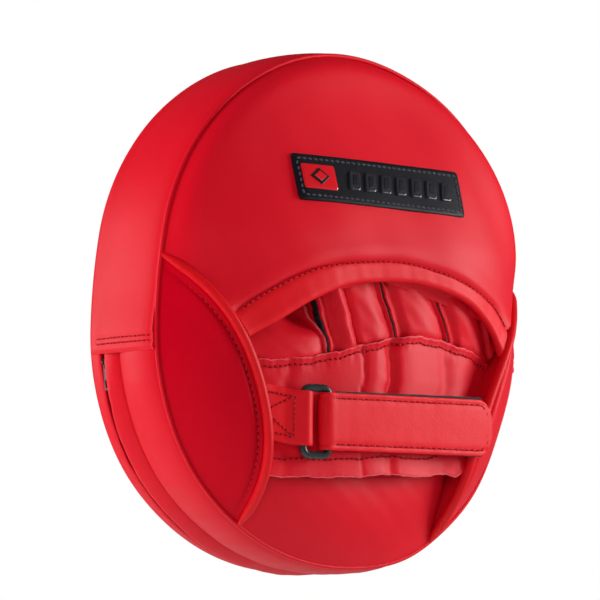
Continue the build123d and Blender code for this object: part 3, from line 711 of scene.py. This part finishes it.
rings = []
for i in range(len(sewn_line)):
    start, end = sewn_line[i], hem_line[i]
    along = (end - start) / np.linalg.norm(end - start)
    u = np.array([0.0, 0.06, 0.14, 0.25, 0.4, 0.55, 0.7, 0.82, 0.92])
    plan_u = start + (end - start) * u[:, None]
    base = hood_height(plan_u[:, 0], plan_u[:, 1])
    rise = np.array([-1.2, -0.4, 0.1, 0.35, 0.45, 0.45, 0.5, 0.6, 0.5]) + ripple(i * 1.4, 0.2, 0.5)
    outer = at_depth(plan_u, base + rise)
    top = base[-1] + rise[-1]
    turn = np.linspace(0.15, 1, 8) * math.pi
    lip = (end - along * 0.9) + along * (2.0 * np.sin(turn))[:, None]
    rolled = at_depth(lip, top - 2.2 + 2.2 * np.cos(turn))
    back = (end - along * 0.9) + (start - end) * np.array([0.3, 0.6, 0.9])[:, None]
    rings.append(np.vstack([outer, rolled, at_depth(back, top - np.array([4.5, 4.7, 5.0]))]))
loft("hood_hem_roll", rings, [red_strap], stands_for=("hood_hem",), slot="red_cover")
line, normal = on_surface(hood_height, sewn_line[3:-3] - (0, 0.9), 0.15)
stitches("hood_stitches", line, normal, pitch=3.0, length=2.2, slot="red_cover")

rings = []
inner_plan = plan[5:46]
for i in range(len(inner_plan)):
    x, z = inner_plan[i, :, 0] * 0.93, inner_plan[i, :, 1] - 1.0
    d = hood_height(x, z) - hood_wall - 0.15
    shape = np.stack([x, z], 1)
    rings.append(np.vstack([at_depth(shape, np.maximum(d, 1.0)),
                            at_depth(shape, np.maximum(d - 0.8, 0.5))[::-1]]))
loft("hood_inner_lining", rings, [lining], stands_for=("hood_lining",), slot="black_lining")

# ---------------------------------------------------------------- lower back panel
heel_low = rim_from((-56, -104), (56, -104), 121)
heel_high = np.stack([np.linspace(-60.5, 60.5, 121), np.full(121, -60.0)], 1)
left_side = resample(wing_edge(-1, wing_bottom[1], -60.0, 200), 60)
right_side = resample(wing_edge(1, wing_bottom[1], -60.0, 200), 60)
heel_high[:, 0] = np.linspace(left_side[-1, 0], right_side[-1, 0], 121)
plan_heel = coons(heel_low, heel_high, left_side, right_side)
rings = []
for row in plan_heel:
    d = np.maximum(heel_height(row[:, 0], row[:, 1]) + ripple(row[:, 0] * 0.7 + row[:, 1], 0.25), 0.5)
    rings.append(np.vstack([at_depth(row, d), at_depth(row, np.full(len(row), 0.3))[::-1]]))
loft("heel_cushion", rings, [red], stands_for=("lower_back_panel", "palm_pad"), slot="red_cover", fill=0.8)

# ---------------------------------------------------------------- cover over the back of the hand
cover_top = smooth_line([(-67, -28.6), (-48.6, -27.0), (-34.2, -24.7), (-23.3, -22.2), (-9.1, -18.1),
                         (6.2, -14.2), (17.1, -11.9), (33.6, -11.3), (51.2, -13.5), (67, -16.8),
                         (76.5, -21.5)], 181)
cover_low = smooth_line([(-57.4, -81.8), (-37.4, -81.0), (-13.3, -79.6), (4, -77.6), (14.0, -76.6),
                         (24.9, -77.2), (42.2, -74.8), (50.5, -75.2), (56.0, -71.8), (59.2, -66.5),
                         (64, -60)], 181)
cover_top[:, 1] += ripple(np.arange(181) * 2.6, 0.55, 0.3)
cover_low[:, 1] += ripple(np.arange(181) * 2.0, 0.5, 1.7)


def cover_shape(x, z):
    corner = 3.4 * smooth(x, 34.0, 62.0) * smooth(-z, 50.0, 66.0)
    hollow = 1.0 * bell(z + 54.0, 14.0)
    return cover_height(x, z) + corner - hollow


rings, lining_rings = [], []
across = np.concatenate([[0, 0.008, 0.02], np.linspace(0.05, 0.95, 30), [0.98, 0.992, 1]])
for i in range(181):
    line_v = cover_top[i] + (cover_low[i] - cover_top[i]) * across[:, None]
    length = np.linalg.norm(cover_low[i] - cover_top[i])
    from_top = across * length
    from_low = length - from_top
    d = cover_shape(line_v[:, 0], line_v[:, 1])
    d = d + 0.8 * bell(from_top, 2.2) - 0.7 * bell(from_top - 3.6, 1.0) + 0.7 * bell(from_low, 2.0)
    d = d - 0.5 * bell(from_low - 8.5, 0.9) + ripple(np.array(float(i)) * 2.2, 0.5) * bell(from_top, 5.0)
    d = d - 0.35 * (from_top < 0.01) - 0.35 * (from_low < 0.01)
    inner = line_v[1:-1]
    inner_d = cover_shape(inner[:, 0], inner[:, 1]) - 1.3 + 0.5 * bell(from_top[1:-1], 2.2)
    rings.append(np.vstack([at_depth(line_v, d), at_depth(inner, inner_d)[::-1]]))
    black_d = inner_d + 0.1
    lining_rings.append(np.vstack([at_depth(inner, black_d), at_depth(inner, black_d - 0.9)[::-1]]))
# The cover's top and bottom edge faces take the pale pink: the raw edge's own colour with a painted highlight
# on it.
edge_faces = {0, len(across) - 2, len(across) - 1, 2 * len(across) - 3}
loft("hand_cover_skin", rings, [red, raw_edge_and_painted_highlight], second=edge_faces, stands_for=("hand_cover",),
     slot="red_cover")
loft("hand_cover_black_lining", lining_rings, [lining], stands_for=("hand_cover_lining",),
     slot="black_lining")
row = cover_top[6:-6] - (0, 3.4)
line, normal = on_surface(cover_shape, row, 0.1)
stitches("hand_cover_stitches_top", line, normal, pitch=2.7, length=2.0, slot="red_cover")
row = cover_low[6:-44] + (0, 8.5)
line, normal = on_surface(cover_shape, row, 0.0)
stitches("hand_cover_stitches_low", line, normal, pitch=3.0, length=2.1, slot="red_cover")

# ---------------------------------------------------------------- finger stalls
stall_nodes = ("thumb_stall", "index_stall", "middle_stall", "ring_stall", "little_stall", "glove_gusset")
# where the stalls meet: x at z = -14, and how x changes with z
stall_edges = [(-82.0, -0.335), (-27.8, -0.31), (-10.3, -0.35), (13.7, -0.427), (47.6, -0.57), (74.6, -0.45),
               (90.0, -0.45)]


def stall_edge(k, z):
    x, lean = stall_edges[k]
    return x + lean * (z + 14.0) + ripple(z * 3.0, 0.5, k)


def stall_crown(x, z):
    sunk = 9.0 * smooth(-x, 22.0, 52.0) * smooth(z, -26.0, 2.0)
    sunk = sunk - 4.5 * smooth(x, 10.0, 55.0) * smooth(z, -16.0, 6.0) - 2.5 * smooth(x, 60.0, 76.0)
    from_cover = z - np.interp(x, cover_top[:, 0], cover_top[:, 1])
    tucked = 2.8 * smooth(3.0 - from_cover, 0.0, 8.0) + 4.0 * smooth(-from_cover, 1.0, 10.0)
    from_hem = z - np.interp(x, hem_line[:, 0], hem_line[:, 1])
    limit = hood_height(x, z) - 5.2 - 5.5 * smooth(from_hem, 3.0, 11.0)
    free = arch(x, 25.6, cover_arch_radius) + 0.8 - sunk - tucked
    return -3.0 * np.logaddexp(-free / 3.0, -limit / 3.0)


def stall_section(k, x, z, w, right_w):
    """Depth across one stall: open slots have a lip and a valley beside them, sewn ones a crease."""
    d = stall_crown(x, z) + ripple(x * 0.9 + z * 1.1, 0.45, k + 2.0) + 0.8
    d = d + 0.9 * bell(w - (w + right_w) * 0.55, (w + right_w) * 0.25)
    if k in (1, 3, 4):
        d = d - 2.4 * bell(w - 4.4, 2.3) - 2.5 * np.exp(-w / 0.3)
    else:
        d = d - (1.7, 0, 1.7, 0, 0, 2.6)[k] * np.exp(-w / 1.5)
    if k in (0, 2, 3):
        lip = 3.2 * bell(right_w - 0.4, 0.8)
        return d - 3.8 * np.exp(-right_w / 4.5) + lip - 2.5 * np.exp(-right_w / 0.3)
    if k == 1:
        return d + 1.5 * bell(right_w - 5.0, 3.5) - 1.9 * np.exp(-right_w / 1.2)
    return d - 3.4 * np.exp(-right_w / 3.0)


for k, node in enumerate(stall_nodes):
    rings = []
    for z in np.linspace(-36.0, 36.0, 61):
        first, last = stall_edge(k, z) + 0.3, stall_edge(k + 1, z) - 0.3
        share = 0.5 - 0.5 * np.cos(np.linspace(0, math.pi, 44))
        wall = edge_centre[0] - math.sqrt(edge_radius**2 - (min(z, 0.0) - edge_centre[1])**2)
        x = np.clip(first + (last - first) * share, 0.6 - wall, wall - 0.6)
        d = stall_section(k, x, z, (last - first) * share, (last - first) * (1 - share))
        if k == 0:
            d = d - 8.5 * bell(x + 37.0, 10.0) * smooth(z, -16.0, -5.0)
        base = np.stack([np.linspace(x[-1], x[0], 8), np.full(8, z)], 1)
        outer = np.stack([x, np.full(44, z)], 1)
        rings.append(np.vstack([at_depth(outer, d), at_depth(base, 7.0)]))
    # the top of the raised lip beside each open slot takes the pale pink: its cut edge with a painted
    # highlight
    lip_edge_and_highlight = {39, 40, 41} if k in (0, 2, 3) else set()
    loft(f"{node}_skin", rings, [red, raw_edge_and_painted_highlight], second=lip_edge_and_highlight, stands_for=(node,), slot="red_cover")
    if k in (1, 3, 4):
        z = np.linspace(-25.0, 30.0, 80)
        x = stall_edge(k, z)
        line = np.stack([x, -(stall_crown(x, z) - 0.1), z], 1)
        wide = 0.32 + (0.5 if k == 1 else 0.25) * smooth(-z, -4.0, 22.0)
        fin(f"{node}_lining_edge", line, np.tile([0.0, -1.0, 0.0], (80, 1)), wide, [lining],
            slot="black_lining")

# ---------------------------------------------------------------- wrist strap
tilt = math.radians(1.9)
strap_across = np.array([-math.sin(tilt), 0.0, math.cos(tilt)])
strap_along = np.array([math.cos(tilt), 0.0, math.sin(tilt)])
strap_centre = np.array([0.0, 0.0, -54.0])
left_bar = np.array([-41.4858, 27.6008])
right_bar = np.array([-28.4902, 29.6447])


def strap_depth(x):
    return arch(x - 10.0, 27.8, 1200.0)


def no_shift(x):
    return 0.0


def strap_band(name, path, thickness, half, materials, body="root", round_end=0.0, wave=0.25, crown=0.25,
               rows=27, shift=no_shift, **how):
    """A strap along a path of (x, depth); half is its half width; round_end rounds its last corners;
    shift(x) moves it across itself."""
    path = resample(np.array(path, float), spacing=1.0)
    tangent = np.gradient(path, axis=0)
    tangent /= np.linalg.norm(tangent, axis=1)[:, None]
    normal = np.stack([-tangent[:, 1], tangent[:, 0]], 1)
    run = np.concatenate([[0], np.cumsum(np.linalg.norm(np.diff(path, axis=0), axis=1))])
    rings = []
    for i in range(len(path)):
        left = run[-1] - run[i]
        width = half
        if round_end and left < round_end:
            width = half - round_end + math.sqrt(max(round_end**2 - (round_end - left)**2, 0.01))
        v = np.sin(np.linspace(-1, 1, rows) * math.pi / 2) * width
        edge = np.clip((width - np.abs(v)) / 1.2, 0, 1)
        swell = crown * (1 - (v / half)**2) + 0.35 * np.sqrt(1 - (1 - edge)**2)
        dip = 0.45 * bell(half - 2.6 - np.abs(v), 0.8)
        top = thickness / 2 + swell - 0.35 - dip
        sway = ripple(run[i] * 1.3, wave, 0.7) * (v / half)**2
        upper = path[i] + normal[i] * (top + sway)[:, None]
        lower = path[i] + normal[i] * (sway - thickness / 2 * (0.6 + 0.4 * edge))[:, None]
        ring = []
        for side_points, order in ((upper, 1), (lower, -1)):
            spots = (strap_centre + side_points[:, :1] * strap_along
                     + (v + shift(path[i, 0]))[:, None] * strap_across
                     + side_points[:, 1:] * np.array([0.0, -1.0, 0.0]))
            ring.append(spots[::order])
        rings.append(np.vstack(ring))
    return loft(name, rings, materials, body=body, **how)


def eye(centre, across_radius, deep_radius, first, last, count=14):
    turn = np.linspace(math.radians(first), math.radians(last), count)
    return [(centre[0] + across_radius * math.cos(a), centre[1] + deep_radius * math.sin(a)) for a in turn]


def tab_shift(x):
    return 1.1 + 2.8 * float(smooth(-x, 40.0, 62.0))


def run_shift(x):
    return 0.3


def loop_tape_shift(x):
    return 0.75 + 0.006 * (x + 24)


def flap_surface(x):
    return strap_depth(x) + flap_low_y + 2.05


def tab_surface(x):
    return np.interp(x, tab_top[:, 0], tab_top[:, 1]) + 1.0


tab_path = ([(x, arch(x, cover_arch_top, cover_arch_radius) + 0.4) for x in (-66, -60, -54, -50)]
            + eye(left_bar, 4.0, 2.9, -80, 80)
            + [(x, arch(x, cover_arch_top, cover_arch_radius) + 3.2) for x in (-50, -54, -60, -66)])
strap_band("anchor_tab_skin", tab_path, 1.7, 12.6, [red_strap], stands_for=("strap_anchor_tab",),
           slot="red_strap", wave=0.5, shift=tab_shift)
flap_low_y = 3.9
flap_path = ([(x, strap_depth(x) + flap_low_y - 1.4) for x in (-19.5, -22)]
             + eye(right_bar, 4.2, 3.1, -75, -285)
             + [(x, strap_depth(x) + flap_low_y + 1.2) for x in np.linspace(-20, 65.6, 40)])
strap_band("flap_skin", flap_path, 2.0, 13.2, [red_strap], body="flap", round_end=8.0,
           stands_for=("strap_flap",), slot="red_strap")
run_path = [(x, strap_depth(x) + 0.8) for x in np.linspace(-24, 66, 30)]
strap_band("lower_run_skin", run_path, 1.5, 12.8, [red_strap], stands_for=("strap_lower_run",), round_end=8.0,
           slot="red_strap", shift=run_shift)
tape_path = [(x, strap_depth(x) + 2.1) for x in np.linspace(-24, 63.5, 30)]
strap_band("loop_tape_skin", tape_path, 0.9, 13.4, [loops], stands_for=("loop_tape",), round_end=3.0,
           slot="hook_and_loop", shift=loop_tape_shift, crown=0.0)


def on_strap(points, depth, shift=None):
    """Points of (x, across) on the strap, at a depth that may vary with x."""
    points = np.array(points, float)
    if shift:
        points[:, 1] += [shift(x) for x in points[:, 0]]
    spots = strap_centre + points[:, :1] * strap_along + points[:, 1:] * strap_across
    spots[:, 1] -= depth(points[:, 0])
    return spots, np.tile([0.0, -1.0, 0.0], (len(points), 1))


edge_v, corner_radius, row_end = 10.6, 5.5, 62.9
corner = [(row_end - corner_radius + corner_radius * math.sin(a),
           edge_v - corner_radius + corner_radius * math.cos(a)) for a in np.linspace(0, math.pi / 2, 8)]
upper_row = [(-30, edge_v), (0, edge_v), (40, edge_v)] + corner
loop = upper_row + [(x, -v) for x, v in reversed(upper_row)]
line, normal = on_strap(resample(np.array(loop, float), 200), flap_surface)
stitches("flap_stitches", line, normal, pitch=3.3, length=2.3, body="flap", slot="red_strap")
tab_top = np.array(sorted(tab_path[9:]))
box_x = [(-60.0, 9.0), (-47.0, 9.0), (-47.0, -9.2), (-60.0, -9.2)]
line, normal = on_strap(resample(np.array(box_x), 60), tab_surface, tab_shift)
stitches("tab_stitches_box", line, normal, pitch=2.4, length=1.9, slot="red_strap")
for k, cross in enumerate(([(-60.0, 0.5), (-47.0, 9.0)], [(-60.0, -0.7), (-47.0, -9.2)])):
    line, normal = on_strap(resample(np.array(cross), 20), tab_surface, tab_shift)
    stitches(f"tab_stitches_cross_{k + 1}", line, normal, pitch=2.4, length=1.9, slot="red_strap")


# ---------------------------------------------------------------- label on the hood
def rounded_rectangle(half_x, half_z, radius, count=9):
    """Border points of a rounded rectangle about (0, 0)."""
    points = []
    for turn, sx, sz in ((0, 1, 1), (90, -1, 1), (180, -1, -1), (270, 1, -1)):
        for a in np.radians(np.linspace(turn, turn + 90, count)):
            points.append((sx * (half_x - radius) + radius * math.cos(a),
                           sz * (half_z - radius) + radius * math.sin(a)))
    return np.array(points)


def patch(name, centre, border, low, high, materials, lean=0.0, **how):
    """A thin plate of the given border that lies on the hood, its edge bevelled."""
    half_size = border.max(0)
    border = resample(np.vstack([border, border[:1]]), 161)[:-1]
    bevel = min(0.35, (high - low) / 2)
    bevelled = border * (1 - bevel / half_size)
    levels = [(border, low), (border, high - bevel), (bevelled, high)]
    for share in (0.9, 0.7, 0.5, 0.3, 0.1, 0.02):
        levels.append((bevelled * share, high))
    rings = []
    for flat, height in levels:
        spots = flat.copy()
        spots[:, 0] += lean * spots[:, 1]
        line, _ = on_surface(hood_height, spots + np.array(centre), height)
        rings.append(line)
    return loft(name, rings, materials, **how)


label_centre = (0.8, 57.2)
patch("label_backing", label_centre, rounded_rectangle(48.0, 11.0, 1.6), -0.3, 1.1, [label_black],
      stands_for=("label_patch",), slot="label_base")
border = rounded_rectangle(45.6, 8.7, 1.2)
border = resample(np.vstack([border, border[:1]]), 241) + label_centre
line, normal = on_surface(hood_height, border, 1.15)
stitches("label_stitches", line, normal, [dark_thread, label_black], pitch=3.0, length=2.1, radius=0.5,
         slot="label_base")
tile_centre = (-34.8, 57.4)
patch("label_red_tile", tile_centre, rounded_rectangle(8.8, 5.8, 1.0), 0.9, 2.0, [label_red],
      stands_for=("label_tile",), slot="label_tile")
for k, size in enumerate((4.0, 2.6)):
    turned = np.array([(0, size), (-size * 1.25, 0), (0, -size), (size * 1.25, 0)])
    patch(f"label_tile_mark_{k + 1}", tile_centre, turned, 1.9 + 0.4 * k, 2.5 + 0.4 * k,
          [(label_black, label_red)[k]], slot="label_tile")
rib_black = plain("label_raised_marks", (0.016, 0.016, 0.02), (0.03, 0.03, 0.036), (0.16, 0.28), scale=80.0)
for k in range(7):
    rib_centre = (-15.5 + 9.0 * k, 57.2)
    patch(f"label_rib_{k + 1}", rib_centre, rounded_rectangle(3.1, 4.6, 1.2), 0.9, 2.0, [rib_black], lean=0.2,
          slot="label_base", stands_for=("label_ribs",) if k == 0 else ())
    patch(f"label_rib_hollow_{k + 1}", rib_centre, rounded_rectangle(1.5, 2.9, 0.8), 1.7, 2.15, [label_black],
          lean=0.2, slot="label_base")

# ---------------------------------------------------------------- stage, camera and light
floor_mesh = bpy.data.meshes.new("floor")
floor_half, floor_z = 20, -0.9
floor_corners = [(x * floor_half, y * floor_half, floor_z) for x, y in ((-1, -1), (1, -1), (1, 1), (-1, 1))]
floor_mesh.from_pydata(floor_corners, [], [(0, 1, 2, 3)])
floor = bpy.data.objects.new("floor", floor_mesh)
bpy.context.scene.collection.objects.link(floor)
floor_material, floor_tree, floor_shader = new_material("pale_floor", roughness=0.9, specular=0.1)
floor_tree.links.new(colour_mix(floor_tree, noise(floor_tree, 2.0), (0.86, 0.86, 0.86), (0.90, 0.90, 0.90)),
                     floor_shader.inputs["Base Color"])
floor_mesh.materials.append(floor_material)

azimuth, elevation, roll = math.radians(-37.5), math.radians(-5.5), math.radians(1.7)
back = Vector((math.sin(azimuth) * math.cos(elevation), -math.cos(azimuth) * math.cos(elevation),
               math.sin(elevation)))
flat_right = Vector((math.cos(azimuth), math.sin(azimuth), 0))
flat_up = back.cross(flat_right)
right = flat_right * math.cos(roll) + flat_up * math.sin(roll)
up = -flat_right * math.sin(roll) + flat_up * math.cos(roll)
distance, scale = 2.5, 2140.0      # pixels per metre at the mitt, in a 600-pixel frame
eye_point = back * distance
aim = -right * (41.8 / scale) + up * (11.2 / scale)
forward = (aim - eye_point).normalized()
view_right = forward.cross(up).normalized()
view_up = view_right.cross(forward)
camera_data = bpy.data.cameras.new("camera")
camera_data.sensor_width = 36.0
camera_data.lens = distance * scale / 600 * 36.0
camera_data.clip_end = 50.0
camera = bpy.data.objects.new("camera", camera_data)
bpy.context.scene.collection.objects.link(camera)
camera.matrix_world = Matrix((
    (view_right.x, view_up.x, -forward.x, eye_point.x),
    (view_right.y, view_up.y, -forward.y, eye_point.y),
    (view_right.z, view_up.z, -forward.z, eye_point.z),
    (0, 0, 0, 1)))
bpy.context.scene.camera = camera


def soft_light(name, position, target, size, power, shine=True):
    """A round area lamp; without shine it casts light but isn't mirrored in glossy surfaces."""
    data = bpy.data.lights.new(name, "AREA")
    data.shape = "DISK"
    data.size = size
    data.energy = power
    lamp = bpy.data.objects.new(name, data)
    lamp.location = position
    lamp.rotation_mode = "QUATERNION"
    lamp.rotation_quaternion = (Vector(target) - Vector(position)).to_track_quat("-Z", "Y")
    lamp.visible_glossy = shine
    bpy.context.scene.collection.objects.link(lamp)


soft_light("left_softbox", (-1.8, 0.5, 0.25), (0, 0.02, 0), 0.9, 21, shine=False)
soft_light("right_softbox", (0.62, -0.43, 0.14), (0.02, 0, -0.01), 0.42, 5.8)
soft_light("front_fill", (-1.3, -1.75, 0.2), (0, 0, 0), 1.6, 13.5, shine=False)
soft_light("back_softbox", (-1.2, 1.6, 0.15), (0, 0, 0), 1.2, 15)
soft_light("back_fill", (1.0, 1.8, 0.3), (0, 0, 0), 1.4, 13, shine=False)

ceiling = bpy.data.lights.new("ceiling_light", "SUN")
ceiling.energy = 0.8
ceiling.angle = 0.9
lamp = bpy.data.objects.new("ceiling_light", ceiling)
lamp.rotation_euler = (math.radians(10), 0, 0)
lamp.visible_glossy = False
bpy.context.scene.collection.objects.link(lamp)

# the background is plain white behind the mitt, and gives only a faint light of its own
world = bpy.data.worlds.new("studio")
bpy.context.scene.world = world
world.use_nodes = True
tree = world.node_tree
background = tree.nodes["Background"]
background.inputs["Color"].default_value = (1, 1, 1, 1)
rays = tree.nodes.new("ShaderNodeLightPath")
strength = tree.nodes.new("ShaderNodeMapRange")
strength.inputs["To Min"].default_value = 0.05
strength.inputs["To Max"].default_value = 1.0
tree.links.new(rays.outputs["Is Camera Ray"], strength.inputs["Value"])
tree.links.new(strength.outputs["Result"], background.inputs["Strength"])
bpy.context.scene.view_settings.view_transform = "Standard"
